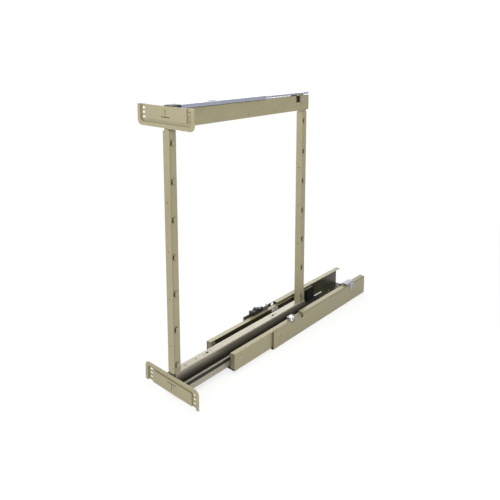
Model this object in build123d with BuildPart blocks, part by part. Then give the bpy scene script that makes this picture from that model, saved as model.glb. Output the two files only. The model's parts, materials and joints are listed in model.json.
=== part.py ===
from build123d import *
import os

# Pull-out pantry frame on a floor runner, millimetres, +Z up, +Y to the back of the cabinet.
# The origin lies under the middle of the whole depth, on the face that rests on the cabinet floor.
os.makedirs("parts", exist_ok=True)

# Driving sizes of the runner
channel_length = 486
channel_width = 114.6
channel_height = 58.8
channel_sheet = 1.6
channel_lip = 17
channel_lip_setback = 136
closed_gap = 40
pull_out = 280
middle_length = 464
middle_width = 104.4
middle_base = 4.6
middle_top = 51.3
middle_sheet = 1.6
middle_lip = 15
middle_nose = 11
rail_sheet = 1.8
rail_top = 58.6
rail_hat_width = 24.6
rail_hat_foot_width = 32.8
rail_base = 9.5
rail_width = 63.4
rail_race_width = 55.2
rail_lip_width = 66
rail_lip_top = 40.2
rail_band_top = 27
bend_radius = 2

# Driving sizes of the frame
hook_span = 500
frame_overhang = 32
post_width = 20.3
post_depth = 22.4
post_sheet = 1.5
post_shoulder = 1
beam_bottom = 650.4
beam_height = 43
beam_width = 20.4
beam_sheet = 1.5
neck_height = 4.4

# Driving sizes of the front brackets
bracket_width = 195.2
bracket_height = 49.6
bracket_sheet = 2
bracket_corner = 14
bracket_rim = 9
bracket_groove = 17
bracket_groove_floor = 8
rim_step = 5
panel_step = 2
lower_bracket_base = 4.4
upper_bracket_base = 652.4

# Clearances
running_fit = 0.03
side_play = 1
joint_gap = 0.3
overrun = 5

# Places along the depth, measured from the middle of the whole depth
overall_depth = closed_gap + pull_out + channel_length
frame_front = -overall_depth / 2
bracket_depth = rim_step + bracket_sheet
channel_front = frame_front + closed_gap + pull_out
channel_rear = channel_front + channel_length
lip_start = channel_front + channel_lip_setback
middle_front = channel_front - middle_nose - pull_out / 2
middle_rear = middle_front + middle_length
beam_front = frame_front + bracket_depth
hook_line_setback = 13.8
front_post_y = frame_front + hook_line_setback
rear_post_y = front_post_y + hook_span - (post_depth - post_width) / 2
frame_depth = hook_span + frame_overhang
beam_rear = frame_front + frame_depth - 2 * post_sheet
rail_front = beam_front
rail_rear = rear_post_y + post_depth / 2 + post_sheet


def both_sides(half_path):
    """Whole cross-section path from its right half, listed from the middle outwards."""
    left = [(-x, z) for x, z in reversed(half_path)]
    return left + list(half_path)


def bent_sheet(path, sheet, start, length, bend=bend_radius):
    """Sheet folded along a cross-section path and run along +Y from the start."""
    with BuildPart() as strip:
        with BuildSketch(Plane.XZ.offset(-start)):
            with BuildLine():
                FilletPolyline(*path, radius=bend)
            trace(line_width=sheet)
        extrude(amount=-length)
    return strip.part


def pin_along_x(x_start, length, y, z, radius):
    """Round pin along +X from its start."""
    with BuildPart() as pin:
        with BuildSketch(Plane.YZ.offset(x_start)):
            with Locations((y, z)):
                Circle(radius)
        extrude(amount=length)
    return pin.part


def nylon_roller(x_start, width, y, z, radius, bore):
    """Crowned roller along +X with rounded rims and a recessed hub on both faces."""
    rim_round = radius / 8
    hub_radius = (radius + bore) / 2
    hub_recess = width / 10
    with BuildPart() as roller:
        with BuildSketch(Plane.YZ.offset(x_start)):
            with Locations((y, z)):
                Circle(radius)
        extrude(amount=width)
        chamfer(roller.edges().filter_by(GeomType.CIRCLE), length=rim_round)
        for face_x, inward in ((x_start, hub_recess), (x_start + width, -hub_recess)):
            with BuildSketch(Plane.YZ.offset(face_x)):
                with Locations((y, z)):
                    Circle(hub_radius)
            extrude(amount=inward, mode=Mode.SUBTRACT)
        with BuildSketch(Plane.YZ.offset(x_start)):
            with Locations((y, z)):
                Circle(bore)
        extrude(amount=width, mode=Mode.SUBTRACT)
    return roller.part


def mirrored(piece):
    """Copy of a piece on the other side of the middle plane."""
    return piece.mirror(Plane.YZ)


def save(piece, label):
    """Label a piece and write its STEP file under the same name."""
    piece.label = label
    export_step(piece, "parts/" + label + ".step")


# Cabinet channel: plain walls at the front, lips turned inwards behind the rollers
wall_x = channel_width / 2 - channel_sheet / 2
channel_floor_z = channel_sheet / 2
channel_lip_z = channel_height - channel_sheet / 2
front_wall_top = channel_height - channel_sheet
notch_width = 19
roller_radius = 8
roller_width = 11
roller_setback = 86.5
roller_y = channel_front + roller_setback
roller_z = middle_top + running_fit + roller_radius
notch_base = middle_top - channel_sheet
window_length = 12
window_height = 9
window_drop = 1
floor_hole_radius = 2.6
floor_hole_offset = 38
floor_hole_spacing = 352
floor_hole_setback = 64
floor_slot_length = 46
floor_slot_width = 5
floor_slot_offset = 52
floor_slot_setback = 370
dimple_radius = 9
dimple_height = 1.4
dimple_setback = 23
dimple_z = 34
stop_tab_length = 8
stop_tab_width = 12
stop_tab_height = 5
stop_tab_x = 30
front_channel_path = both_sides([(wall_x, channel_floor_z), (wall_x, front_wall_top)])
lip_edge_x = channel_width / 2 - channel_lip
lipped_channel_path = both_sides(
    [(wall_x, channel_floor_z), (wall_x, channel_lip_z), (lip_edge_x, channel_lip_z)]
)
with BuildPart() as cabinet_channel:
    add(bent_sheet(front_channel_path, channel_sheet, channel_front, channel_lip_setback))
    add(bent_sheet(lipped_channel_path, channel_sheet, lip_start, channel_length - channel_lip_setback))
    # roller notches and the windows where the lips begin
    with BuildSketch(Plane.YZ.offset(-channel_width)):
        with Locations((roller_y, notch_base)):
            Rectangle(notch_width, channel_height, align=(Align.CENTER, Align.MIN))
        with Locations((lip_start, front_wall_top - window_drop)):
            Rectangle(window_length, window_height, align=(Align.MAX, Align.MAX))
    extrude(amount=2 * channel_width, mode=Mode.SUBTRACT)
    # screw holes and long slots through the floor
    hole_rows = (channel_front + floor_hole_setback, channel_front + floor_hole_setback + floor_hole_spacing)
    with BuildSketch(Plane.XY):
        for row_y in hole_rows:
            with Locations((-floor_hole_offset, row_y), (floor_hole_offset, row_y)):
                Circle(floor_hole_radius)
        with Locations(
            (-floor_slot_offset, channel_front + floor_slot_setback),
            (floor_slot_offset, channel_front + floor_slot_setback),
        ):
            SlotOverall(floor_slot_length, floor_slot_width, rotation=90)
    extrude(amount=overrun, mode=Mode.SUBTRACT)
    # round dimples pressed outwards near the mouth, each with a half-moon opening
    for side in (-1, 1):
        with BuildSketch(Plane.YZ.offset(side * (channel_width / 2 - channel_sheet / 4))):
            with Locations((channel_front + dimple_setback, dimple_z)):
                Circle(dimple_radius)
        extrude(amount=side * (dimple_height + channel_sheet / 4), taper=30)
        with BuildSketch(Plane.YZ.offset(side * channel_width / 2 - side * overrun)):
            with Locations((channel_front + dimple_setback, dimple_z)):
                Circle(dimple_radius - dimple_height - channel_sheet)
            with Locations((channel_front + dimple_setback - channel_sheet, dimple_z + channel_sheet)):
                Circle(dimple_radius - dimple_height - channel_sheet, mode=Mode.SUBTRACT)
        extrude(amount=side * (2 * overrun), mode=Mode.SUBTRACT)
    # stop tabs lanced up from the floor at the back
    for side in (-1, 1):
        with BuildSketch(Plane.XZ.offset(-(channel_rear - stop_tab_length))):
            with Locations((side * stop_tab_x, channel_sheet / 2)):
                Rectangle(stop_tab_width, stop_tab_height, align=(Align.CENTER, Align.MIN))
        extrude(amount=-channel_sheet)
save(cabinet_channel.part, "cabinet_channel")

# Glide pads on the channel floor under the middle channel
pad_length = 34
pad_width = 22
pad_offset = 37
pad_setback = 24
with BuildPart() as front_glide_pads:
    with BuildSketch(Plane.XY.offset(channel_sheet)):
        with Locations((-pad_offset, channel_front + pad_setback), (pad_offset, channel_front + pad_setback)):
            RectangleRounded(pad_width, pad_length, bend_radius)
    extrude(amount=middle_base - running_fit - channel_sheet)
save(front_glide_pads.part, "front_glide_pads")

# Hold-down rollers over the middle channel, each in a strap carrier beside its notch
strap_sheet = 1.5
strap_height = 13
strap_half_length = 11.5
roller_side_gap = 0.4
roller_bore = 2.5
strap_base = middle_top + 0.5 * channel_sheet
roller_x = channel_width / 2 - roller_width
strap_x = roller_x - roller_side_gap - strap_sheet
strap_reach = channel_width / 2 - channel_sheet - strap_x
with BuildPart() as roller_carrier_right:
    with BuildSketch(Plane.XY.offset(strap_base)):
        with Locations((strap_x, roller_y)):
            Rectangle(strap_reach, 2 * strap_half_length, align=(Align.MIN, Align.CENTER))
        with Locations((strap_x + strap_sheet, roller_y)):
            Rectangle(
                strap_reach, 2 * (strap_half_length - strap_sheet),
                align=(Align.MIN, Align.CENTER), mode=Mode.SUBTRACT,
            )
    extrude(amount=strap_height)
    fillet(roller_carrier_right.edges().filter_by(Axis.Z).group_by(Axis.X)[0], radius=strap_sheet / 2)
    with BuildSketch(Plane.YZ.offset(strap_x)):
        with Locations((roller_y, roller_z)):
            Circle(roller_bore - running_fit)
    extrude(amount=strap_sheet, mode=Mode.SUBTRACT)
save(roller_carrier_right.part, "roller_carrier_right")
save(mirrored(roller_carrier_right.part), "roller_carrier_left")

hold_down_roller = nylon_roller(roller_x, roller_width, roller_y, roller_z, roller_radius, roller_bore)
save(hold_down_roller, "hold_down_roller_right")
save(mirrored(hold_down_roller), "hold_down_roller_left")

pin_head_radius = 4
pin_head_height = 1
with BuildPart() as hold_down_pins:
    pin_length = roller_width + 2 * roller_side_gap + strap_sheet
    right_pin = pin_along_x(strap_x, pin_length, roller_y, roller_z, roller_bore - running_fit)
    right_head = pin_along_x(
        strap_x + pin_length, pin_head_height, roller_y, roller_z, pin_head_radius
    )
    right_tail = pin_along_x(strap_x - pin_head_height, pin_head_height, roller_y, roller_z, pin_head_radius)
    add([right_pin, right_head, right_tail])
    mirror(about=Plane.YZ)
save(hold_down_pins.part, "hold_down_pins")

# Catch block on the left wall: a foot over the wall top and a stepped top
catch_length = 42
catch_width = 11
catch_setback = 29
catch_front = channel_front + catch_setback
catch_base = middle_top + channel_sheet / 2
catch_height = 17
catch_wall = 3.4
catch_x = -channel_width / 2 - catch_wall
catch_skirt = 8
catch_top_shares = (
    (0, 0.45), (0.12, 0.45), (0.2, 0.3), (0.35, 0.3), (0.5, 0.62), (0.62, 0.62), (0.72, 0.4), (1, 0.3)
)
catch_top = [
    (catch_front + catch_length * along, front_wall_top + catch_height * up)
    for along, up in catch_top_shares
]
with BuildPart() as catch_block:
    with BuildSketch(Plane.YZ.offset(catch_x)):
        with BuildLine():
            Polyline(
                (catch_front + catch_length, front_wall_top - catch_skirt),
                (catch_front, front_wall_top - catch_skirt),
                *catch_top,
                close=True,
            )
        make_face()
    extrude(amount=catch_width + catch_wall)
    # slot that sits over the channel wall, and the underside over the middle channel
    with BuildSketch(Plane.XZ.offset(-(catch_front - overrun))):
        with Locations((-channel_width / 2, front_wall_top)):
            Rectangle(channel_sheet, 2 * catch_skirt, align=(Align.MIN, Align.MAX))
        with Locations((-channel_width / 2, catch_base)):
            Rectangle(catch_width + catch_wall, catch_skirt, align=(Align.MIN, Align.MAX))
    extrude(amount=-(catch_length + 2 * overrun), mode=Mode.SUBTRACT)
save(catch_block.part, "catch_block")

# Spring-steel clip over the right wall near the back
clip_sheet = 1.8
clip_length = 40
clip_reach = 20
clip_drop = 22
clip_setback = 375
clip_curl = 6
clip_hole_radius = 2
clip_slot_radius = 7
clip_y = channel_front + clip_setback
clip_outer_x = channel_width / 2 + clip_sheet / 2
clip_top_z = channel_height + clip_sheet / 2 + 3 * clip_sheet
with BuildPart() as rear_clip:
    clip_path = [
        (clip_outer_x - clip_reach, clip_top_z - clip_curl),
        (clip_outer_x - clip_reach, clip_top_z),
        (clip_outer_x, clip_top_z),
        (clip_outer_x, clip_top_z - clip_drop),
    ]
    add(bent_sheet(clip_path, clip_sheet, clip_y, clip_length))
    # the outer leg narrows to a rounded tab at its rear half
    with BuildSketch(Plane.YZ.offset(channel_width / 2 - clip_sheet)):
        with Locations((clip_y, clip_top_z - 2 * clip_sheet)):
            Rectangle(clip_length * 0.45, clip_drop, align=(Align.MIN, Align.MAX))
    extrude(amount=3 * clip_sheet, mode=Mode.SUBTRACT)
    # half-ring slot around the tab's screw seat
    with BuildSketch(Plane.YZ.offset(channel_width / 2 - clip_sheet)):
        with Locations((clip_y + clip_length * 0.72, clip_top_z - clip_drop + clip_slot_radius)):
            Circle(clip_slot_radius * 0.7)
            Circle(clip_slot_radius * 0.4, mode=Mode.SUBTRACT)
            Rectangle(clip_slot_radius, 2 * clip_slot_radius, align=(Align.MAX, Align.CENTER), mode=Mode.SUBTRACT)
    extrude(amount=3 * clip_sheet, mode=Mode.SUBTRACT)
    with BuildSketch(Plane.XY.offset(channel_height)):
        with Locations(
            (clip_outer_x - clip_reach / 2, clip_y + clip_length * 0.2),
            (clip_outer_x - clip_reach / 2, clip_y + clip_length * 0.48),
        ):
            Circle(clip_hole_radius)
    extrude(amount=clip_drop, mode=Mode.SUBTRACT)
    # seat on the channel lip
    with BuildSketch(Plane.XY.offset(channel_height)):
        with Locations((clip_outer_x - clip_reach / 2, clip_y + clip_length * 0.82)):
            Rectangle(clip_reach / 2, clip_length / 4)
    extrude(amount=clip_top_z - channel_height)
save(rear_clip.part, "rear_clip")

# Middle channel: a C section that runs inside the cabinet channel
middle_wall_x = middle_width / 2 - middle_sheet / 2
middle_floor_z = middle_base + middle_sheet / 2
middle_lip_z = middle_top - middle_sheet / 2
middle_inner_x = middle_width / 2 - middle_sheet
middle_floor_top = middle_base + middle_sheet
middle_roof = middle_top - middle_sheet
front_pin_setback = 22
front_pin_y = middle_front + front_pin_setback
front_pin_radius = 2
rail_lip_underside = rail_lip_top - rail_sheet
front_roller_radius = 4.8
front_roller_z = rail_lip_underside - running_fit - front_roller_radius
middle_hole_radius = 3
middle_hole_count = 5
with BuildPart() as middle_channel:
    middle_path = both_sides(
        [
            (middle_wall_x, middle_floor_z),
            (middle_wall_x, middle_lip_z),
            (middle_width / 2 - middle_lip, middle_lip_z),
        ]
    )
    add(bent_sheet(middle_path, middle_sheet, middle_front, middle_length))
    with BuildSketch(Plane.YZ.offset(-middle_width)):
        with Locations((front_pin_y, front_roller_z)):
            Circle(front_pin_radius)
    extrude(amount=2 * middle_width, mode=Mode.SUBTRACT)
    hole_pitch = middle_length / (middle_hole_count + 1)
    with BuildSketch(Plane.XY.offset(middle_base)):
        with Locations((0, middle_front + middle_length / 2)):
            with GridLocations(hole_pitch, hole_pitch, 1, middle_hole_count):
                Circle(middle_hole_radius)
    extrude(amount=overrun, mode=Mode.SUBTRACT)
save(middle_channel.part, "middle_channel")

# Guide blocks in the mouth of the middle channel, beside the inner rail
guide_block_length = 14
guide_block_setback = 1
guide_block_width = middle_inner_x - rail_lip_width / 2 - joint_gap
guide_block_top = middle_roof - bend_radius
with BuildPart() as mouth_guide_right:
    with BuildSketch(Plane.XZ.offset(-(middle_front + guide_block_setback))):
        with Locations((middle_inner_x, middle_floor_top + bend_radius)):
            Rectangle(
                guide_block_width, guide_block_top - middle_floor_top - bend_radius,
                align=(Align.MAX, Align.MIN),
            )
    extrude(amount=-guide_block_length)
    fillet(mouth_guide_right.edges().filter_by(Axis.Z).group_by(Axis.X)[0], radius=bend_radius)
    # shallow grease grooves across the bearing face
    with BuildSketch(Plane.XZ.offset(-(middle_front))):
        with Locations((middle_inner_x - guide_block_width, (middle_floor_top + guide_block_top) / 2)):
            with GridLocations(guide_block_width, guide_block_top / 4, 1, 3):
                Rectangle(guide_block_width / 4, guide_block_width / 4)
    extrude(amount=-(guide_block_length + overrun), mode=Mode.SUBTRACT)
save(mouth_guide_right.part, "mouth_guide_right")
save(mirrored(mouth_guide_right.part), "mouth_guide_left")

# Front load rollers of the middle channel, under the lips of the inner rail
front_roller_x = rail_race_width / 2 + side_play
front_roller_width = 9
front_head_height = 1.2
front_pin_length = middle_inner_x + middle_sheet - front_roller_x
front_roller = nylon_roller(
    front_roller_x, front_roller_width, front_pin_y, front_roller_z, front_roller_radius, front_pin_radius
)
save(front_roller, "front_load_roller_right")
save(mirrored(front_roller), "front_load_roller_left")
with BuildPart() as front_load_pins:
    add(
        pin_along_x(
            front_roller_x, front_pin_length, front_pin_y, front_roller_z, front_pin_radius - running_fit
        )
    )
    # spacer between the roller and the channel wall
    spacer_x = front_roller_x + front_roller_width + joint_gap
    add(
        pin_along_x(
            spacer_x, middle_inner_x - spacer_x, front_pin_y, front_roller_z,
            front_pin_radius + front_head_height,
        )
    )
    mirror(about=Plane.YZ)
save(front_load_pins.part, "front_load_pins")

# Rear carrier of the middle channel: an open U with a tongue on the channel floor
carrier_length = 22
carrier_half_width = channel_width / 2 - channel_sheet - joint_gap
carrier_cheek_x = 45
carrier_cheek = 3
carrier_floor = channel_sheet + joint_gap
carrier_floor_top = 7
buffer_length = 24
buffer_width = 13
tongue_length = 24
tongue_thickness = 1.5
rear_roller_radius = 10
rear_roller_width = 6
rear_pin_radius = 2.5
rear_roller_y = middle_rear + carrier_length / 2
rear_roller_z = channel_height - channel_sheet - running_fit - rear_roller_radius
carrier_top = rear_roller_z + rear_pin_radius + bend_radius
with BuildPart() as middle_rear_carrier:
    with BuildSketch(Plane.XZ.offset(-middle_rear)):
        with BuildLine():
            Polyline(
                *both_sides(
                    [
                        (carrier_cheek_x, carrier_floor_top),
                        (carrier_cheek_x, carrier_top),
                        (carrier_cheek_x + carrier_cheek, carrier_top),
                        (carrier_cheek_x + carrier_cheek, carrier_floor_top + carrier_floor),
                        (carrier_half_width, carrier_floor_top),
                        (carrier_half_width, carrier_floor + bend_radius),
                        (carrier_half_width - bend_radius, carrier_floor),
                    ]
                ),
                close=True,
            )
        make_face()
    extrude(amount=-carrier_length)
    with BuildSketch(Plane.XY.offset(middle_floor_top)):
        with Locations((0, middle_rear)):
            Rectangle(2 * (lip_edge_x - overrun), 2 * tongue_length)
    extrude(amount=tongue_thickness)
    # buffers inside the rear end of the middle channel
    with BuildSketch(Plane.XZ.offset(-(middle_rear - buffer_length))):
        buffer_base = middle_floor_top + bend_radius
        for side, edge in ((1, Align.MAX), (-1, Align.MIN)):
            with Locations((side * (middle_inner_x - joint_gap), buffer_base)):
                Rectangle(buffer_width, middle_roof - bend_radius - buffer_base, align=(edge, Align.MIN))
    extrude(amount=-buffer_length)
    with BuildSketch(Plane.YZ.offset(-channel_width)):
        with Locations((rear_roller_y, rear_roller_z)):
            Circle(rear_pin_radius)
    extrude(amount=2 * channel_width, mode=Mode.SUBTRACT)
save(middle_rear_carrier.part, "middle_rear_carrier")

rear_roller_x = carrier_cheek_x + carrier_cheek + joint_gap
rear_roller = nylon_roller(
    rear_roller_x, rear_roller_width, rear_roller_y, rear_roller_z, rear_roller_radius, rear_pin_radius
)
save(rear_roller, "middle_rear_roller_right")
save(mirrored(rear_roller), "middle_rear_roller_left")
with BuildPart() as middle_rear_pins:
    rear_pin_length = carrier_cheek + joint_gap + rear_roller_width + joint_gap
    add(
        pin_along_x(
            carrier_cheek_x, rear_pin_length, rear_roller_y, rear_roller_z, rear_pin_radius - running_fit
        )
    )
    add(
        pin_along_x(
            carrier_cheek_x + rear_pin_length, joint_gap, rear_roller_y, rear_roller_z, pin_head_radius
        )
    )
    add(
        pin_along_x(
            carrier_cheek_x - side_play, side_play, rear_roller_y, rear_roller_z, pin_head_radius
        )
    )
    mirror(about=Plane.YZ)
save(middle_rear_pins.part, "middle_rear_pins")

# Rivets that hold the rear carrier's tongue on the middle channel floor
rivet_radius = 2.2
rivet_head_radius = 3.6
rivet_head_height = 1.2
rivet_offset = 20
with BuildPart() as carrier_rivets:
    with BuildSketch(Plane.XY.offset(middle_floor_top + tongue_thickness)):
        with Locations(
            (-rivet_offset, middle_rear - tongue_length / 2), (rivet_offset, middle_rear - tongue_length / 2)
        ):
            Circle(rivet_head_radius)
    extrude(amount=rivet_head_height, taper=20)
save(carrier_rivets.part, "carrier_rivets")

# Inner rail: hat, valley, upright side with a roller race and an outward lip
rail_length = rail_rear - rail_front
hat_z = rail_top - rail_sheet / 2
valley_z = rail_base + rail_sheet / 2
rail_lip_z = rail_lip_top - rail_sheet / 2
hat_x = rail_hat_width / 2 - rail_sheet / 2
hat_foot_x = rail_hat_foot_width / 2 - rail_sheet / 2
band_x = rail_width / 2 - rail_sheet / 2
race_x = rail_race_width / 2 - rail_sheet / 2
rail_pin_setback = 438
rail_pin_y = front_post_y + rail_pin_setback
rail_roller_radius = 15
rail_roller_width = 6
rail_pin_radius = 2.5
rail_roller_z = middle_roof - running_fit - rail_roller_radius
rail_hole_radius = 2.6
rail_hole_rows = (36, 72)
cluster_rows = (107, 372)
cluster_width = 8
cluster_length = 11
with BuildPart() as inner_rail:
    rail_path = both_sides(
        [
            (hat_x, hat_z),
            (hat_foot_x, valley_z),
            (band_x, valley_z),
            (band_x, rail_band_top - rail_sheet / 2),
            (race_x, rail_band_top + rail_sheet),
            (race_x, rail_lip_z),
            (rail_lip_width / 2, rail_lip_z),
        ]
    )
    add(bent_sheet(rail_path, rail_sheet, rail_front, rail_length))
    with BuildSketch(Plane.XY.offset(rail_top - overrun)):
        for row in rail_hole_rows:
            with Locations((0, frame_front + hook_line_setback + row - rail_hole_radius)):
                Circle(rail_hole_radius)
        for row in cluster_rows:
            with Locations((0, front_post_y + row)):
                RectangleRounded(cluster_width * 0.7, cluster_length, rail_hole_radius / 2)
            with Locations((0, front_post_y + row + cluster_length + rail_hole_radius)):
                Circle(rail_hole_radius * 0.8)
    extrude(amount=2 * overrun, mode=Mode.SUBTRACT)
    # small tabs pressed up beside the square openings
    for row in cluster_rows:
        with BuildSketch(Plane.XY.offset(rail_top - rail_sheet / 2)):
            with Locations((0, front_post_y + row - cluster_length)):
                RectangleRounded(cluster_width, cluster_length / 2, rail_hole_radius / 2)
        extrude(amount=rail_sheet, taper=20)
    with BuildSketch(Plane.YZ.offset(-rail_width)):
        with Locations((rail_pin_y, rail_roller_z)):
            Circle(rail_pin_radius)
    extrude(amount=2 * rail_width, mode=Mode.SUBTRACT)
save(inner_rail.part, "inner_rail")

rail_roller_x = middle_inner_x - side_play - rail_roller_width
rail_roller = nylon_roller(
    rail_roller_x, rail_roller_width, rail_pin_y, rail_roller_z, rail_roller_radius, rail_pin_radius
)
save(rail_roller, "rail_rear_roller_right")
save(mirrored(rail_roller), "rail_rear_roller_left")
with BuildPart() as rail_rear_pins:
    rail_pin_x = rail_race_width / 2 - rail_sheet - rivet_head_height
    add(
        pin_along_x(
            rail_pin_x, rail_roller_x + rail_roller_width + joint_gap / 2 - rail_pin_x,
            rail_pin_y, rail_roller_z, rail_pin_radius - running_fit,
        )
    )
    # collar between the rail's race and the roller
    add(
        pin_along_x(
            rail_race_width / 2, rail_roller_x - joint_gap / 2 - rail_race_width / 2,
            rail_pin_y, rail_roller_z, rail_pin_radius + running_fit,
        )
    )
    mirror(about=Plane.YZ)
save(rail_rear_pins.part, "rail_rear_pins")

# Posts: a closed section with a front face that overhangs both sides, hooks lanced from the sides
hook_pitch = 90
hook_count = 7
lowest_hook = 69.5
window_bottom_radius = 5.5
hook_window_height = 14
hook_width = 8
hook_reach = 4
hook_height = 15
post_hole_radius = 1.8
post_hole_pitch = 117
post_hole_count = 4
lowest_post_hole = 128
post_side_x = post_width / 2 - post_shoulder
post_base = rail_top
post_top = beam_bottom - neck_height
face_sheet = 2 * post_sheet


def post_section(center_y, start, height):
    """Closed post section with shoulders at the front face."""
    with BuildPart() as section:
        with BuildSketch(Plane.XY.offset(start)):
            with Locations((0, center_y)):
                RectangleRounded(2 * post_side_x, post_depth, post_shoulder)
            with Locations((0, center_y - post_depth / 2)):
                Rectangle(post_width, face_sheet, align=(Align.CENTER, Align.MIN))
            with Locations((0, center_y + (face_sheet - post_sheet) / 2)):
                Rectangle(
                    2 * (post_side_x - post_sheet), post_depth - face_sheet - post_sheet,
                    mode=Mode.SUBTRACT,
                )
        extrude(amount=height)
    return section.part


def hook_tab(center_y, z):
    """Tab lanced from the right side of a post, leaning out and then upright."""
    root_x = post_side_x - post_sheet / 2
    tip_x = post_side_x + hook_reach - post_sheet / 2
    with BuildPart() as tab:
        with BuildSketch(Plane.XZ.offset(-(center_y - hook_width / 2))):
            with BuildLine():
                FilletPolyline(
                    (root_x, z - post_sheet),
                    (root_x, z + post_sheet / 2),
                    (tip_x, z + hook_reach),
                    (tip_x, z + hook_height),
                    radius=post_sheet,
                )
            trace(line_width=post_sheet)
        extrude(amount=-hook_width)
    return tab.part


def hooked_post(center_y):
    """Post with lanced hooks on both sides and small holes down its front face."""
    hook_heights = [lowest_hook + hook_pitch * step for step in range(hook_count)]
    with BuildPart() as post:
        add(post_section(center_y, post_base, post_top - post_base))
        with BuildSketch(Plane.YZ.offset(-post_width)):
            for z in hook_heights:
                with Locations((center_y, z + window_bottom_radius)):
                    Circle(window_bottom_radius)
                    Rectangle(
                        2 * window_bottom_radius, hook_window_height - window_bottom_radius,
                        align=(Align.CENTER, Align.MIN),
                    )
        extrude(amount=2 * post_width, mode=Mode.SUBTRACT)
        for z in hook_heights:
            tab = hook_tab(center_y, z)
            add(tab)
            add(tab.mirror(Plane.YZ))
        with BuildSketch(Plane.XZ.offset(-(center_y - post_depth / 2 - overrun))):
            for step in range(post_hole_count):
                with Locations((0, lowest_post_hole + post_hole_pitch * step)):
                    Circle(post_hole_radius)
        extrude(amount=-2 * overrun, mode=Mode.SUBTRACT)
    return post.part


save(hooked_post(front_post_y), "front_post")
save(hooked_post(rear_post_y), "rear_post")

# Foot plugs inside the posts, welded to the rail top
plug_gap = 0.2
plug_height = 9
for label, center_y in (("front_post_plug", front_post_y), ("rear_post_plug", rear_post_y)):
    with BuildPart() as post_plug:
        with BuildSketch(Plane.XY.offset(rail_top)):
            with Locations((0, center_y + (face_sheet - post_sheet) / 2)):
                RectangleRounded(
                    2 * (post_side_x - post_sheet) - 2 * plug_gap,
                    post_depth - face_sheet - post_sheet - 2 * plug_gap, post_sheet,
                )
        extrude(amount=plug_height)
    save(post_plug.part, label)

# Foot bracket behind the rear post and its screws
foot_height = 26
foot_length = 14
foot_sheet = 2
screw_head_radius = 3.4
screw_head_height = 2
screw_radius = 2
foot_y = rear_post_y + post_depth / 2
with BuildPart() as rear_foot_bracket:
    with BuildSketch(Plane.YZ.offset(-post_side_x)):
        with Locations((foot_y, rail_top)):
            Rectangle(foot_sheet, foot_height, align=(Align.MIN, Align.MIN))
    extrude(amount=2 * post_side_x)
    fillet(rear_foot_bracket.edges().filter_by(Axis.Y).group_by(Axis.Z)[-1], radius=foot_length / 4)
    with BuildSketch(Plane.XZ.offset(-(foot_y - overrun))):
        with Locations((0, rail_top + foot_height / 3), (0, rail_top + foot_height * 2 / 3)):
            Circle(screw_radius)
    extrude(amount=-2 * overrun, mode=Mode.SUBTRACT)
save(rear_foot_bracket.part, "rear_foot_bracket")

with BuildPart() as rear_foot_screws:
    with BuildSketch(Plane.XZ.offset(-(foot_y + foot_sheet))):
        with Locations((0, rail_top + foot_height / 3), (0, rail_top + foot_height * 2 / 3)):
            Circle(screw_head_radius)
    extrude(amount=-screw_head_height, taper=15)
    with BuildSketch(Plane.XZ.offset(-foot_y)):
        with Locations((0, rail_top + foot_height / 3), (0, rail_top + foot_height * 2 / 3)):
            Circle(screw_radius)
    extrude(amount=-foot_sheet)
save(rear_foot_screws.part, "rear_foot_screws")

# Top beam: closed section with a notch for the guide saddle and two small holes
beam_top = beam_bottom + beam_height
beam_length = beam_rear - beam_front
notch_length = 19
beam_notch_depth = 19
saddle_length = 20
saddle_sheet = 2
saddle_setback = 486
saddle_y = front_post_y + saddle_setback
notch_y = saddle_y - saddle_length / 2 - notch_length / 2
beam_hole_radius = 1.7
beam_hole_setbacks = (262, 368)
beam_hole_height = 8.5
with BuildPart() as top_beam:
    with BuildSketch(Plane.XZ.offset(-beam_front)):
        with Locations((0, beam_bottom + beam_height / 2)):
            RectangleRounded(beam_width, beam_height, bend_radius)
            RectangleRounded(
                beam_width - 2 * beam_sheet, beam_height - 2 * beam_sheet, beam_sheet / 2,
                mode=Mode.SUBTRACT,
            )
    extrude(amount=-beam_length)
    with BuildSketch(Plane.YZ.offset(-beam_width)):
        with Locations((notch_y, beam_top)):
            Rectangle(notch_length, 2 * beam_notch_depth)
        for setback in beam_hole_setbacks:
            with Locations((beam_front + setback, beam_bottom + beam_hole_height)):
                Circle(beam_hole_radius)
    extrude(amount=2 * beam_width, mode=Mode.SUBTRACT)
    # recess for the saddle
    with BuildSketch(Plane.YZ.offset(-beam_width)):
        with Locations((saddle_y, beam_top)):
            Rectangle(saddle_length + 2 * plug_gap, 2 * (saddle_sheet + bend_radius / 2 + plug_gap))
    extrude(amount=2 * beam_width, mode=Mode.SUBTRACT)
save(top_beam.part, "top_beam")

plug_flange = 2.4
plug_depth = 12
with BuildPart() as beam_end_plug:
    with BuildSketch(Plane.XZ.offset(-beam_rear)):
        with Locations((0, beam_bottom + beam_height / 2)):
            RectangleRounded(beam_width, beam_height, bend_radius)
    extrude(amount=-plug_flange)
    fillet(beam_end_plug.faces().sort_by(Axis.Y)[-1].edges(), radius=plug_flange / 2)
    with BuildSketch(Plane.XZ.offset(-beam_rear)):
        with Locations((0, beam_bottom + beam_height / 2)):
            RectangleRounded(
                beam_width - 2 * beam_sheet - 2 * plug_gap, beam_height - 2 * beam_sheet - 2 * plug_gap,
                beam_sheet,
            )
    extrude(amount=plug_depth)
save(beam_end_plug.part, "beam_end_plug")

# Neck plates between the post tops and the beam
neck_width = 15
for label, center_y in (("front_neck_plate", front_post_y), ("rear_neck_plate", rear_post_y)):
    with BuildPart() as neck_plate:
        with BuildSketch(Plane.XY.offset(post_top)):
            with Locations((0, center_y)):
                RectangleRounded(neck_width, post_depth - post_sheet, bend_radius)
        extrude(amount=neck_height)
    save(neck_plate.part, label)

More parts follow.
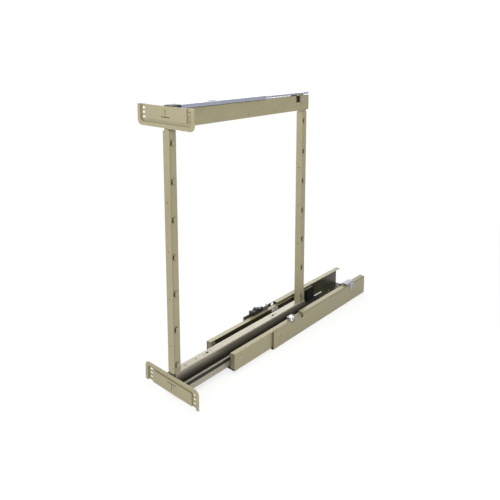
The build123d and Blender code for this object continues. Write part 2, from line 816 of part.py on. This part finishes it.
# Front brackets: raised rim, U groove with slots, raised panel, T slit
groove_top = bracket_height - bracket_rim
panel_top = groove_top - bracket_groove_floor
rim_inner_x = bracket_width / 2 - bracket_rim
panel_x = rim_inner_x - bracket_groove
slot_pitch = 10.4
slot_length = 13
slot_height = 5
slot_rows = 3
lowest_slot = 9
tooth = 2
slit_width = 2.4
slit_bar = 31
slit_stem = 18
slit_z = 25
bead_radius = 0.9
bead_pitch = 7


def plate_outline(half_width, height, corner):
    """Plate outline with its open edge at the base and rounded upper corners."""
    with BuildSketch(mode=Mode.PRIVATE) as outline:
        with Locations((0, height / 2)):
            Rectangle(2 * half_width, height)
        fillet(outline.vertices().group_by(Axis.Y)[-1], radius=corner)
    return outline.sketch


def stamped_bracket(base_z):
    """Stamped bracket with its open edge at the base height."""
    rim_plane = Plane(origin=(0, frame_front, base_z), x_dir=(1, 0, 0), z_dir=(0, -1, 0))
    groove_plane = rim_plane.offset(-rim_step)
    panel_plane = rim_plane.offset(-panel_step)
    outer = plate_outline(bracket_width / 2, bracket_height, bracket_corner)
    inner = plate_outline(rim_inner_x, groove_top, bracket_corner - bracket_rim / 2)
    inner_back = plate_outline(
        rim_inner_x + bracket_sheet, groove_top + bracket_sheet, bracket_corner - bracket_rim / 4
    )
    panel = plate_outline(panel_x, panel_top, bracket_groove_floor / 2)
    panel_back = plate_outline(
        panel_x - bracket_sheet, panel_top - bracket_sheet, bracket_groove_floor / 4
    )
    with BuildPart() as bracket:
        # rim, then the groove floor behind it with its side wall
        with BuildSketch(rim_plane):
            add(outer)
            add(inner, mode=Mode.SUBTRACT)
        extrude(amount=-bracket_sheet)
        with BuildSketch(rim_plane):
            add(inner_back)
            add(inner, mode=Mode.SUBTRACT)
        extrude(amount=-(rim_step + bracket_sheet))
        with BuildSketch(groove_plane):
            add(inner)
            add(panel, mode=Mode.SUBTRACT)
        extrude(amount=-bracket_sheet)
        # panel raised from the groove floor
        with BuildSketch(panel_plane):
            add(panel)
        extrude(amount=-bracket_sheet)
        with BuildSketch(panel_plane):
            add(panel)
            add(panel_back, mode=Mode.SUBTRACT)
        extrude(amount=-(rim_step - panel_step + bracket_sheet))
        # slots with tooth notches at the panel side, and the T slit
        slot_x = (rim_inner_x + panel_x) / 2
        with BuildSketch(rim_plane):
            for side in (-1, 1):
                for row in range(slot_rows):
                    z = lowest_slot + slot_pitch * row
                    with Locations((side * slot_x, z)):
                        SlotOverall(slot_length, slot_height)
                    with Locations((side * (panel_x + tooth), z + slot_pitch / 2)):
                        Rectangle(2 * tooth, tooth)
            with Locations((0, slit_z)):
                Rectangle(slit_bar, slit_width)
            with Locations((0, slit_z)):
                Rectangle(slit_width, slit_stem, align=(Align.CENTER, Align.MAX))
        extrude(amount=-2 * rim_step, mode=Mode.SUBTRACT)
        # row of small beads down both short rims
        bead_count = int((bracket_height - bracket_corner) / bead_pitch)
        with BuildSketch(rim_plane):
            for side in (-1, 1):
                for step in range(bead_count):
                    with Locations((side * (bracket_width / 2 - bracket_rim / 2), bead_pitch * (step + 0.7))):
                        Circle(bead_radius)
        extrude(amount=bead_radius / 2)
    return bracket.part


lower_bracket_part = stamped_bracket(lower_bracket_base)
save(lower_bracket_part, "lower_bracket")
turned_plane = Plane.XY.offset(lower_bracket_base + bracket_height / 2)
lift = upper_bracket_base - lower_bracket_base
save(lower_bracket_part.mirror(turned_plane).moved(Location((0, 0, lift))), "upper_bracket")

# Holder plates behind the panels, each with a tongue through the T slit
holder_thickness = rim_step - panel_step
holder_width = 60
holder_height = 26
tongue_width = slit_bar - 2 * slit_width
holder_plane_y = frame_front + panel_step + bracket_sheet
lower_holder_z = lower_bracket_base + slit_z
upper_holder_z = upper_bracket_base + bracket_height - slit_z
for label, slit_height, side in (
    ("lower_bracket_holder", lower_holder_z, -1), ("upper_bracket_holder", upper_holder_z, 1)
):
    with BuildPart() as bracket_holder:
        with BuildSketch(Plane.XZ.offset(-holder_plane_y)):
            with Locations((0, slit_height + side * holder_height / 2 - side * slit_width)):
                RectangleRounded(holder_width, holder_height, bend_radius)
        extrude(amount=-holder_thickness)
        with BuildSketch(Plane.XZ.offset(-holder_plane_y)):
            with Locations((0, slit_height)):
                Rectangle(tongue_width, slit_width - 2 * plug_gap)
        extrude(amount=bracket_sheet / 2)
    save(bracket_holder.part, label)

# Top guide: outer rail wrapping an inner rail, with balls in a cage between them
guide_sheet = 1.2
guide_gap = 0.5
guide_outer_width = 27
guide_height = 9.4
guide_lip = 3.6
guide_outer_front = frame_front + 39
guide_outer_length = 296
ball_diameter = 3.9
cage_sheet = 0.4
guide_inner_half = guide_outer_width / 2 - guide_sheet - ball_diameter - 2 * running_fit
guide_base = beam_top + guide_gap
guide_top = guide_base + guide_height
guide_inner_top = guide_top - guide_sheet - cage_sheet - guide_gap
guide_inner_base = guide_base + 3 * guide_gap + guide_sheet
bumper_length = 29.4
guide_inner_front = guide_outer_front - bumper_length / 2
guide_inner_rear = frame_front + frame_depth
with BuildPart() as guide_outer_rail:
    edge_x = guide_outer_width / 2 - guide_sheet / 2
    add(
        bent_sheet(
            both_sides(
                [
                    (edge_x, guide_top - guide_sheet / 2),
                    (edge_x, guide_base + guide_sheet / 2),
                    (edge_x - guide_lip, guide_base + guide_sheet / 2),
                ]
            ),
            guide_sheet, guide_outer_front, guide_outer_length, guide_sheet,
        )
    )
    guide_hole_radius = 2.3
    guide_hole_spacing = 224
    guide_hole_setback = 36
    with BuildSketch(Plane.XY.offset(guide_top - overrun)):
        with Locations(
            (0, guide_outer_front + guide_hole_setback),
            (0, guide_outer_front + guide_hole_setback + guide_hole_spacing),
        ):
            Circle(guide_hole_radius)
    extrude(amount=2 * overrun, mode=Mode.SUBTRACT)
    # small tab pressed up from the top
    with BuildSketch(Plane.XY.offset(guide_top - guide_sheet / 2)):
        with Locations((0, guide_outer_front + guide_outer_length / 3 + 2 * overrun)):
            RectangleRounded(2 * overrun, 4 * overrun, bend_radius)
    extrude(amount=guide_sheet * 1.5, taper=30)
save(guide_outer_rail.part, "guide_outer_rail")

with BuildPart() as guide_bumper:
    with BuildSketch(Plane.XZ.offset(-(guide_outer_front - bumper_length - guide_gap))):
        with Locations((0, (guide_base + guide_top) / 2)):
            RectangleRounded(guide_outer_width, guide_height, 2 * guide_sheet)
    extrude(amount=-bumper_length)
    fillet(guide_bumper.faces().sort_by(Axis.Y)[0].edges(), radius=guide_sheet)
    # hollow behind the nose
    with BuildSketch(Plane.XZ.offset(-(guide_outer_front - guide_gap))):
        with Locations((0, guide_base)):
            Rectangle(
                guide_outer_width - 4 * guide_sheet, 2 * (guide_inner_top - guide_base),
            )
    extrude(amount=bumper_length - 2 * guide_sheet, mode=Mode.SUBTRACT)
save(guide_bumper.part, "guide_bumper")

with BuildPart() as guide_inner_rail:
    inner_edge_x = guide_inner_half - guide_sheet / 2
    add(
        bent_sheet(
            both_sides(
                [
                    (inner_edge_x, guide_inner_top - guide_sheet / 2),
                    (inner_edge_x, guide_inner_base),
                ]
            ),
            guide_sheet, guide_inner_front, guide_inner_rear - guide_inner_front, guide_sheet,
        )
    )
save(guide_inner_rail.part, "guide_inner_rail")

cage_length = 40
ball_count = 3
ball_z = (guide_base + guide_sheet + guide_top - guide_sheet) / 2
ball_x = guide_inner_half + running_fit + ball_diameter / 2
cage_setback = 226
cage_front = guide_outer_front + cage_setback
cage_x = ball_x
ball_pitch = cage_length / ball_count
ball_places = [cage_front + ball_pitch * (step + 0.5) for step in range(ball_count)]
with BuildPart() as guide_ball_cage:
    add(
        bent_sheet(
            both_sides(
                [
                    (cage_x, guide_inner_top + guide_gap / 2 + cage_sheet / 2),
                    (cage_x, guide_base + guide_sheet + guide_gap),
                ]
            ),
            cage_sheet, cage_front, cage_length, guide_sheet,
        )
    )
    with BuildSketch(Plane.YZ.offset(-guide_outer_width)):
        for y in ball_places:
            with Locations((y, ball_z)):
                Circle(ball_diameter / 2 + plug_gap)
    extrude(amount=2 * guide_outer_width, mode=Mode.SUBTRACT)
save(guide_ball_cage.part, "guide_ball_cage")

with BuildPart() as guide_balls:
    for y in ball_places:
        with Locations((ball_x, y, ball_z), (-ball_x, y, ball_z)):
            Sphere(ball_diameter / 2)
save(guide_balls.part, "guide_balls")

# Saddle over the beam that carries the guide's inner rail at the back
saddle_leg = 20
saddle_half = beam_width / 2 + saddle_sheet / 2
with BuildPart() as guide_saddle:
    add(
        bent_sheet(
            both_sides([(saddle_half, beam_top - saddle_sheet / 2), (saddle_half, beam_top - saddle_leg)]),
            saddle_sheet, saddle_y - saddle_length / 2, saddle_length,
        )
    )
    fillet(
        guide_saddle.edges().filter_by(Axis.X).group_by(Axis.Z)[0], radius=saddle_length / 3
    )
    with BuildSketch(Plane.XY.offset(beam_top)):
        with Locations((0, saddle_y)):
            Rectangle(2 * (guide_inner_half - 2 * guide_sheet), saddle_length)
    extrude(amount=guide_inner_top - guide_sheet - beam_top)
save(guide_saddle.part, "guide_saddle")

with BuildPart() as saddle_rivets:
    for side in (-1, 1):
        with BuildSketch(Plane.YZ.offset(side * (saddle_half + saddle_sheet / 2))):
            with Locations((saddle_y, beam_top - saddle_leg * 0.7)):
                Circle(rivet_head_radius * 0.7)
        extrude(amount=side * rivet_head_height, taper=25)
save(saddle_rivets.part, "saddle_rivets")

# Stop piece and small pin under the guide's inner rail, in front of the saddle
stop_length = 20
stop_y = saddle_y - saddle_length / 2 - notch_length - stop_length
with BuildPart() as guide_stop:
    with BuildSketch(Plane.YZ.offset(-(guide_inner_half - 2 * guide_sheet))):
        with BuildLine():
            Polyline(
                (stop_y, guide_inner_top - guide_sheet),
                (stop_y, guide_inner_base),
                (stop_y + stop_length, beam_top),
                (stop_y + stop_length + notch_length * 0.8, beam_top),
                (stop_y + stop_length + notch_length * 0.8, guide_inner_top - guide_sheet),
                close=True,
            )
        make_face()
    extrude(amount=2 * (guide_inner_half - 2 * guide_sheet))
save(guide_stop.part, "guide_stop")

stop_pin_radius = 1.5
with BuildPart() as stop_pin:
    pin_y = stop_y + stop_length + notch_length * 0.55
    pin_z = beam_top + stop_pin_radius
    pin_reach = guide_outer_width / 2 - guide_sheet / 2 - guide_lip - joint_gap
    add(
        pin_along_x(
            guide_inner_half - 2 * guide_sheet, pin_reach - guide_inner_half + 2 * guide_sheet,
            pin_y, pin_z, stop_pin_radius,
        )
    )
    fillet(stop_pin.edges().sort_by(Axis.X)[-1], radius=stop_pin_radius / 3)
save(stop_pin.part, "stop_pin")
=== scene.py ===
import json
import math

import bpy
import numpy as np
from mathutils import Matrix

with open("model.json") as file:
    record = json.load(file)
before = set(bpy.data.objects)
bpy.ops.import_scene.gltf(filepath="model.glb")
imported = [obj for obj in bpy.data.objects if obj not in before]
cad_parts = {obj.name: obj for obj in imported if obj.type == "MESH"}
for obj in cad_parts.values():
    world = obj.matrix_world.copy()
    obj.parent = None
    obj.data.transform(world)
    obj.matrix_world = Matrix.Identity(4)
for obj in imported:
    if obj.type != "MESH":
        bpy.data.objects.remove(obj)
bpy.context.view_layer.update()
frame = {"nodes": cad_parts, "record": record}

nodes = frame["nodes"]
mm = 0.001


# Colours and shader nodes
def tone(red, green, blue):
    """Linear colour of an sRGB colour given as 0 to 255."""
    share = np.array([red, green, blue]) / 255
    linear = np.where(share <= 0.04045, share / 12.92, ((share + 0.055) / 1.055) ** 2.4)
    return (*linear.tolist(), 1.0)


def shade(base, red, green, blue):
    """Linear colour of a base with that much added to its red, green and blue."""
    return tone(base[0] + red, base[1] + green, base[2] + blue)


def put(tree, kind, feeds=None, **settings):
    """A shader node with its settings, its inputs fed by plain values or by other sockets."""
    made = tree.nodes.new(kind)
    for key, value in settings.items():
        setattr(made, key, value)
    for socket, feed in (feeds or {}).items():
        if isinstance(feed, bpy.types.NodeSocket):
            tree.links.new(feed, made.inputs[socket])
        else:
            made.inputs[socket].default_value = feed
    return made


def reckon(tree, operation, first, second=0.0):
    """Result of a Math node on two values."""
    return put(tree, "ShaderNodeMath", {0: first, 1: second}, operation=operation).outputs[0]


def both(tree, first, second):
    """Product of two masks: one only where each of them is one."""
    return reckon(tree, "MULTIPLY", first, second)


def ramp(tree, value, start, end, low=0.0, high=1.0):
    """Value carried smoothly from low at start to high at end."""
    made = put(
        tree, "ShaderNodeMapRange",
        {"Value": value, "From Min": start, "From Max": end, "To Min": low, "To Max": high},
        interpolation_type="SMOOTHSTEP",
    )
    return made.outputs["Result"]


def blend(tree, share, first, second):
    """Colour between first and second by the share."""
    made = put(
        tree, "ShaderNodeMix", {0: share, 6: first, 7: second}, data_type="RGBA", clamp_factor=True
    )
    return made.outputs[2]


def cover(tree, under, over, mask, most):
    """Colour over laid on colour under where the mask is, at most by that share."""
    return blend(tree, reckon(tree, "MULTIPLY", mask, most), under, over)


def axes(tree):
    """X, Y and Z of the Object coordinates as three sockets."""
    spot = put(tree, "ShaderNodeTexCoord").outputs["Object"]
    return put(tree, "ShaderNodeSeparateXYZ", {0: spot}).outputs


def off_middle(tree):
    """Distance from the part's middle plane, to either side."""
    return reckon(tree, "ABSOLUTE", axes(tree)["X"])


def place(tree, stretch):
    """Object coordinates in metres, multiplied axis by axis by the stretch."""
    spot = put(tree, "ShaderNodeTexCoord").outputs["Object"]
    return put(tree, "ShaderNodeMapping", {"Vector": spot, "Scale": stretch}).outputs["Vector"]


def cloud(tree, per_metre, detail=3.0, stretch=(1, 1, 1)):
    """Noise between 0 and 1 with that many waves in a metre."""
    return put(
        tree, "ShaderNodeTexNoise",
        {"Vector": place(tree, stretch), "Scale": per_metre, "Detail": detail, "Roughness": 0.55},
    ).outputs[0]


def grain(tree, across, along, detail):
    """Noise drawn out along the part, with its waves in a metre across and along it."""
    return cloud(tree, per_metre=1, detail=detail, stretch=(across, along, across))


def rubbed_edge(tree, radius):
    """Share of bare edge: one minus the cosine between the face and a normal rounded over the edges."""
    edge_start, edge_full = 0.04, 0.22
    round_normal = put(tree, "ShaderNodeBevel", {"Radius": radius}, samples=6).outputs[0]
    flat_normal = put(tree, "ShaderNodeNewGeometry").outputs["Normal"]
    cosine = put(
        tree, "ShaderNodeVectorMath", {0: round_normal, 1: flat_normal}, operation="DOT_PRODUCT"
    ).outputs["Value"]
    return ramp(tree, reckon(tree, "SUBTRACT", 1.0, cosine), edge_start, edge_full)


def start_finish(name, metallic, ior=1.45, coat=0.0, coat_roughness=0.2):
    """New material and its Principled shader with the values that are the same all over it."""
    material = bpy.data.materials.new(name)
    material.use_nodes = True
    tree = material.node_tree
    shader = tree.nodes["Principled BSDF"]
    shader.inputs["Metallic"].default_value = metallic
    shader.inputs["IOR"].default_value = ior
    shader.inputs["Coat Weight"].default_value = coat
    shader.inputs["Coat Roughness"].default_value = coat_roughness
    return material, tree, shader


def end_finish(tree, shader, colour, roughness, height, depth, strength):
    """Colour, roughness and a bump of that depth, from a height between 0 and 1, put on the shader."""
    bump = put(
        tree, "ShaderNodeBump", {"Height": height, "Distance": depth, "Strength": strength}
    ).outputs[0]
    tree.links.new(colour, shader.inputs["Base Color"])
    tree.links.new(roughness, shader.inputs["Roughness"])
    tree.links.new(bump, shader.inputs["Normal"])


# Painted shade that lies where a node's own sizes say: in a channel's hollow and along a post's seam
def box_of(label):
    """Lowest and highest corner of a CAD node in millimetres."""
    mesh = nodes[label].data
    spots = np.empty(3 * len(mesh.vertices))
    mesh.vertices.foreach_get("co", spots)
    spots = spots.reshape(-1, 3) / mm
    return spots.min(axis=0), spots.max(axis=0)


def hollow_of(label):
    """Half width and roof height of a channel's hollow: its box less one inset at the side and on top."""
    inset = 1.6
    side, _, top = box_of(label)[1]
    return side - inset, top - inset


def seam_of(label):
    """Y of the seam on a post's sides: its front face and a setback."""
    setback = 3.8
    return box_of(label)[0][1] + setback


def in_hollow(tree, half_width, roof):
    """Mask that is one inside a channel's walls and under its lips."""
    outer_side, inner_side = half_width + 0.25, half_width - 0.1
    outer_roof, inner_roof = roof + 0.6, roof + 0.2
    between = ramp(tree, off_middle(tree), outer_side * mm, inner_side * mm)
    under = ramp(tree, axes(tree)["Z"], outer_roof * mm, inner_roof * mm)
    return both(tree, between, under)


def at_seam(tree, seam):
    """Mask that is one on a thin upright line at that Y."""
    # The line is a painted shadow behind the shoulder of a post's front face.
    line_edge, line_core = 1.5, 0.3
    off_seam = reckon(tree, "ABSOLUTE", reckon(tree, "SUBTRACT", axes(tree)["Y"], seam * mm))
    return ramp(tree, off_seam, line_edge * mm, line_core * mm)


# Finishes of the frame
def champagne_paint(name, hollow=None, painted_shade_share=0.86, seam=None):
    """Satin champagne paint: slow mottling, flake speckle, dull streaks, orange peel and rubbed edges.
    In a channel's hollow painted shade darkens it, uneven in patches, and on a post's side a painted
    shadow line runs just behind the front face."""
    base = (142, 135, 107)
    dark, light = shade(base, -9, -9, -10), shade(base, 9, 9, 9)
    bright, dull = shade(base, 44, 42, 34), shade(base, -38, -38, -34)
    # The two darkest colours are painted: a shadow line for a post's seam and shade for a channel's
    # hollow.
    rubbed, painted_shadow_colour, painted_shade_colour = tone(196, 189, 166), tone(62, 57, 42), tone(30, 27, 19)
    material, tree, shader = start_finish(name, metallic=0.22, coat=0.08, coat_roughness=0.35)
    slow = cloud(tree, per_metre=9, detail=2.0)
    flake = ramp(tree, cloud(tree, per_metre=2600, detail=1.0), start=0.56, end=0.70)
    drawn = cloud(tree, per_metre=42, detail=4.0, stretch=(1, 0.25, 1))
    streak = ramp(tree, drawn, start=0.60, end=0.74)
    paint = blend(tree, slow, dark, light)
    paint = cover(tree, paint, bright, flake, most=0.30)
    paint = cover(tree, paint, dull, streak, most=0.16)
    paint = cover(tree, paint, rubbed, rubbed_edge(tree, 0.9 * mm), most=0.55)
    # Painted shadow line on a post's side, in the corner behind the front face's shoulder.
    if seam is not None:
        paint = cover(tree, paint, painted_shadow_colour, at_seam(tree, seam), most=0.72)
    # Painted shade inside a channel's walls and under its lips, uneven in patches.
    if hollow:
        uneven_shade = cloud(tree, per_metre=60, stretch=(1, 0.3, 1))
        patch = ramp(tree, uneven_shade, start=0.25, end=0.75, low=0.8)
        paint = cover(tree, paint, painted_shade_colour, both(tree, in_hollow(tree, *hollow), patch), most=painted_shade_share)
    roughness = ramp(tree, slow, start=0.3, end=0.7, low=0.33, high=0.45)
    peel = cloud(tree, per_metre=900, detail=2.0)
    end_finish(tree, shader, paint, roughness, peel, depth=0.05 * mm, strength=0.5)
    return material


def rail_zinc(name):
    """Drawn zinc steel: lines along the rail, and painted shade on the webs and in the races that leaves
    the crown pale.
    """
    side, _, top = box_of("inner_rail")[1]
    crown_edge, web_start = 11.4, 13.0
    darkening_top, darkening_full = top - 2.5, top - 29.5
    lip_face, race_face = side - 1.4, side - 2
    dark, light = tone(140, 134, 119), tone(168, 162, 147)
    # The darkest colour is painted shade for the webs and races.
    stain, painted_shade_colour, rubbed = tone(128, 123, 109), tone(34, 30, 22), tone(226, 222, 210)
    material, tree, shader = start_finish(name, metallic=0.45)
    lines = grain(tree, across=1500, along=7, detail=4.0)
    patch = ramp(tree, cloud(tree, per_metre=26, stretch=(1, 0.4, 1)), start=0.45, end=0.75)
    # Painted shade on the webs: off the crown, darker towards the bottom, and behind the lips.
    off_crown = ramp(tree, off_middle(tree), crown_edge * mm, web_start * mm)
    below_crown = ramp(tree, axes(tree)["Z"], darkening_top * mm, darkening_full * mm, low=0.30)
    behind_lip = ramp(tree, off_middle(tree), lip_face * mm, race_face * mm)
    painted_shade_share = both(tree, both(tree, off_crown, below_crown), behind_lip)
    steel = blend(tree, lines, dark, light)
    steel = cover(tree, steel, stain, patch, most=0.30)
    steel = cover(tree, steel, painted_shade_colour, painted_shade_share, most=0.88)
    steel = cover(tree, steel, rubbed, rubbed_edge(tree, 0.8 * mm), most=0.6)
    roughness = ramp(tree, lines, start=0.3, end=0.7, low=0.28, high=0.42)
    end_finish(tree, shader, steel, roughness, lines, depth=0.02 * mm, strength=0.4)
    return material


def galvanised(name):
    """Galvanised strip: flat zinc crystals of about 6 mm and fine rolling lines along the guide."""
    crystals_per_metre = 170.0
    dark, light = tone(136, 139, 153), tone(148, 151, 165)
    rolled, rubbed = tone(176, 179, 192), tone(236, 238, 244)
    material, tree, shader = start_finish(name, metallic=0.6)
    crystal = put(
        tree, "ShaderNodeTexVoronoi",
        {"Vector": place(tree, (1, 0.6, 1)), "Scale": crystals_per_metre}, feature="F1",
    ).outputs["Color"]
    grey = put(tree, "ShaderNodeSeparateColor", {0: crystal}).outputs[0]
    lines = grain(tree, across=1800, along=6, detail=3.0)
    zinc = blend(tree, grey, dark, light)
    zinc = cover(tree, zinc, rolled, lines, most=0.45)
    zinc = cover(tree, zinc, rubbed, rubbed_edge(tree, 0.6 * mm), most=0.5)
    roughness = ramp(tree, grey, start=0.0, end=1.0, low=0.34, high=0.42)
    end_finish(tree, shader, zinc, roughness, lines, depth=0.008 * mm, strength=0.2)
    return material


def zinc_plate(name, base=(150, 147, 152)):
    """Zinc plating with a faint bluish cloud and tumbling marks."""
    dark, light = shade(base, -14, -14, -12), shade(base, 34, 34, 36)
    bluish, rubbed = shade(base, 8, 4, 34), tone(228, 227, 230)
    material, tree, shader = start_finish(name, metallic=0.9)
    mist = cloud(tree, per_metre=160)
    tint = ramp(tree, cloud(tree, per_metre=70, detail=2.0), start=0.48, end=0.68)
    plate = blend(tree, mist, dark, light)
    plate = cover(tree, plate, bluish, tint, most=0.25)
    plate = cover(tree, plate, rubbed, rubbed_edge(tree, 0.5 * mm), most=0.5)
    roughness = ramp(tree, mist, start=0.3, end=0.7, low=0.24, high=0.42)
    tumbled = cloud(tree, per_metre=1400, detail=2.0)
    end_finish(tree, shader, plate, roughness, tumbled, depth=0.03 * mm, strength=0.5)
    return material


def moulded_black(name):
    """Moulded black plastic with a fine spark-eroded grain and slightly polished edges."""
    dark, light, polished = tone(17, 17, 18), tone(34, 33, 33), tone(74, 72, 70)
    material, tree, shader = start_finish(name, metallic=0.0, ior=1.5)
    haze = cloud(tree, per_metre=80)
    plastic = blend(tree, haze, dark, light)
    plastic = cover(tree, plastic, polished, rubbed_edge(tree, 0.5 * mm), most=0.35)
    roughness = ramp(tree, haze, start=0.3, end=0.7, low=0.42, high=0.58)
    eroded = cloud(tree, per_metre=1900, detail=2.0)
    end_finish(tree, shader, plastic, roughness, eroded, depth=0.06 * mm, strength=0.6)
    return material


def turned_nylon(name, base=(240, 239, 235)):
    """Nylon: milky, with turning lines round it and a slight yellow cloud."""
    dark, light = shade(base, -14, -14, -17), shade(base, 4, 4, 5)
    yellowed = shade(base, -54, -57, -65)
    material, tree, shader = start_finish(name, metallic=0.0, ior=1.53)
    shader.inputs["Subsurface Weight"].default_value = 0.08
    shader.inputs["Subsurface Radius"].default_value = (4 * mm, 4 * mm, 3 * mm)
    haze = cloud(tree, per_metre=120)
    smear = ramp(tree, cloud(tree, per_metre=260), start=0.58, end=0.74)
    nylon = blend(tree, haze, dark, light)
    nylon = cover(tree, nylon, yellowed, smear, most=0.22)
    roughness = ramp(tree, haze, start=0.3, end=0.7, low=0.36, high=0.50)
    turned = cloud(tree, per_metre=1, detail=2.0, stretch=(5200, 90, 90))
    end_finish(tree, shader, nylon, roughness, turned, depth=0.03 * mm, strength=0.5)
    return material


slot_finishes = {
    "champagne_steel": champagne_paint("champagne_paint"),
    "rail_steel": rail_zinc("rail_zinc"),
    "galvanised_steel": galvanised("galvanised_strip"),
    "zinc_steel": zinc_plate("zinc_plate"),
    "black_plastic": moulded_black("moulded_black"),
    "white_nylon": turned_nylon("turned_nylon"),
}
# Darker copy of the white nylon for the mouth guides: painted shade for guides that sit deep between the
# channels.
nylon_with_painted_shade = turned_nylon("nylon_with_painted_shade", base=(118, 113, 94))
dark_plate = zinc_plate("dark_plate", base=(46, 43, 38))
# Channel paints with painted shade in their hollows; the middle channel's shade is deeper.
channel_paint = champagne_paint("champagne_paint_channel", hollow=hollow_of("cabinet_channel"))
middle_paint = champagne_paint(
    "champagne_paint_middle", hollow=hollow_of("middle_channel"), painted_shade_share=0.94
)
node_finishes = {
    "mouth_guide_right": nylon_with_painted_shade,
    "mouth_guide_left": nylon_with_painted_shade,
    "cabinet_channel": channel_paint,
    "middle_channel": middle_paint,
    "front_post": champagne_paint("champagne_paint_front_post", seam=seam_of("front_post")),
    "rear_post": champagne_paint("champagne_paint_rear_post", seam=seam_of("rear_post")),
    "lower_bracket_holder": dark_plate,
    "upper_bracket_holder": dark_plate,
}
for part in frame["record"]["subparts"]:
    label = part["node"]
    chosen = node_finishes.get(label, slot_finishes[part["material_slot"]])
    for slot in nodes[label].material_slots:
        slot.material = chosen


# Floor, studio light and camera
def studio_floor():
    """Flat floor far wider than the view, just under the lowest piece. Near the part the camera sees
    the part's soft shadow on it faintly, and further out plain white."""
    reach, drop = 30.0, 0.4 * mm
    fade_start, fade_end = 0.55, 1.5
    glow_near, glow_far = 0.72, 1.0
    corners = [(-reach, -reach), (reach, -reach), (reach, reach), (-reach, reach)]
    mesh = bpy.data.meshes.new("studio_floor")
    mesh.from_pydata([(x, y, -drop) for x, y in corners], [], [(0, 1, 2, 3)])
    floor = bpy.data.objects.new("studio_floor", mesh)
    bpy.context.scene.collection.objects.link(floor)
    material = bpy.data.materials.new("white_paper")
    material.use_nodes = True
    tree = material.node_tree
    tree.nodes.clear()
    paper = blend(tree, cloud(tree, per_metre=3, detail=2.0), tone(246, 246, 245), tone(250, 250, 250))
    matt = put(tree, "ShaderNodeBsdfDiffuse", {"Color": paper}).outputs[0]
    glow = put(tree, "ShaderNodeEmission", {"Color": (1, 1, 1, 1), "Strength": 1.0}).outputs[0]
    path = put(tree, "ShaderNodeLightPath").outputs
    seen = reckon(tree, "MAXIMUM", path["Is Camera Ray"], path["Is Glossy Ray"])
    seen = reckon(tree, "MAXIMUM", seen, path["Is Transmission Ray"])
    spot = put(tree, "ShaderNodeTexCoord").outputs["Object"]
    distance = put(tree, "ShaderNodeVectorMath", {0: spot}, operation="LENGTH").outputs["Value"]
    fade = ramp(tree, distance, fade_start, fade_end, glow_near, glow_far)
    mixed = put(tree, "ShaderNodeMixShader", {0: both(tree, seen, fade), 1: matt, 2: glow})
    sheet = put(tree, "ShaderNodeOutputMaterial")
    tree.links.new(mixed.outputs[0], sheet.inputs["Surface"])
    mesh.materials.append(material)


def white_surround():
    """World that the camera sees white and reflections see half white, and that lights softly in grey."""
    soft_strength, glossy_share = 0.34, 0.5
    world = bpy.data.worlds.new("white_surround")
    world.use_nodes = True
    tree = world.node_tree
    tree.nodes.clear()
    soft = put(
        tree, "ShaderNodeBackground", {"Color": (0.96, 0.98, 1.0, 1), "Strength": soft_strength}
    )
    white = put(tree, "ShaderNodeBackground", {"Color": (1, 1, 1, 1), "Strength": 1.0})
    path = put(tree, "ShaderNodeLightPath").outputs
    seen = reckon(tree, "MAXIMUM", path["Is Camera Ray"], path["Is Transmission Ray"])
    glossy = reckon(tree, "MULTIPLY", path["Is Glossy Ray"], glossy_share)
    share = reckon(tree, "MAXIMUM", seen, glossy)
    mixed = put(
        tree, "ShaderNodeMixShader", {0: share, 1: soft.outputs[0], 2: white.outputs[0]}
    )
    out = put(tree, "ShaderNodeOutputWorld")
    tree.links.new(mixed.outputs[0], out.inputs["Surface"])
    bpy.context.scene.world = world


def softbox(name, spot, size, watts, colour=(1, 1, 1)):
    """Square area light at a spot, turned to the middle of the part."""
    data = bpy.data.lights.new(name, "AREA")
    data.shape, data.size, data.energy, data.color = "SQUARE", size, watts, colour
    lamp = bpy.data.objects.new(name, data)
    away = np.subtract(spot, lamp_aim)
    lean = math.atan2(math.hypot(away[0], away[1]), away[2])
    turn = math.atan2(away[1], away[0]) + math.pi / 2
    lamp.location = spot
    lamp.rotation_euler = (lean, 0, turn)
    bpy.context.scene.collection.objects.link(lamp)


def photo_camera():
    """Camera with the place, turn and lens that the photo's vanishing lines and hooks gave."""
    lens = bpy.data.cameras.new("photo_camera")
    lens.sensor_width, lens.lens, lens.shift_y = 36.0, 39.5, -0.24
    lens.clip_start, lens.clip_end = 0.05, 60.0
    camera = bpy.data.objects.new("photo_camera", lens)
    camera.location = (0.9494, -1.1780, 0.8349)
    camera.rotation_euler = (math.radians(81.25), 0, math.radians(41.83))
    bpy.context.scene.collection.objects.link(camera)
    bpy.context.scene.camera = camera


studio_floor()
white_surround()
lamp_aim = (0.0, 0.0, 0.32)
softbox("key_softbox", spot=(1.9, -1.5, 1.5), size=1.5, watts=46, colour=(1.0, 0.985, 0.96))
softbox("front_softbox", spot=(-0.9, -2.2, 1.1), size=1.4, watts=26, colour=(1.0, 0.99, 0.97))
softbox("top_softbox", spot=(0.1, 0.2, 2.5), size=1.8, watts=30)
softbox("back_softbox", spot=(-1.6, 1.7, 1.3), size=1.4, watts=16)
photo_camera()
bpy.context.scene.view_settings.view_transform = "Standard"
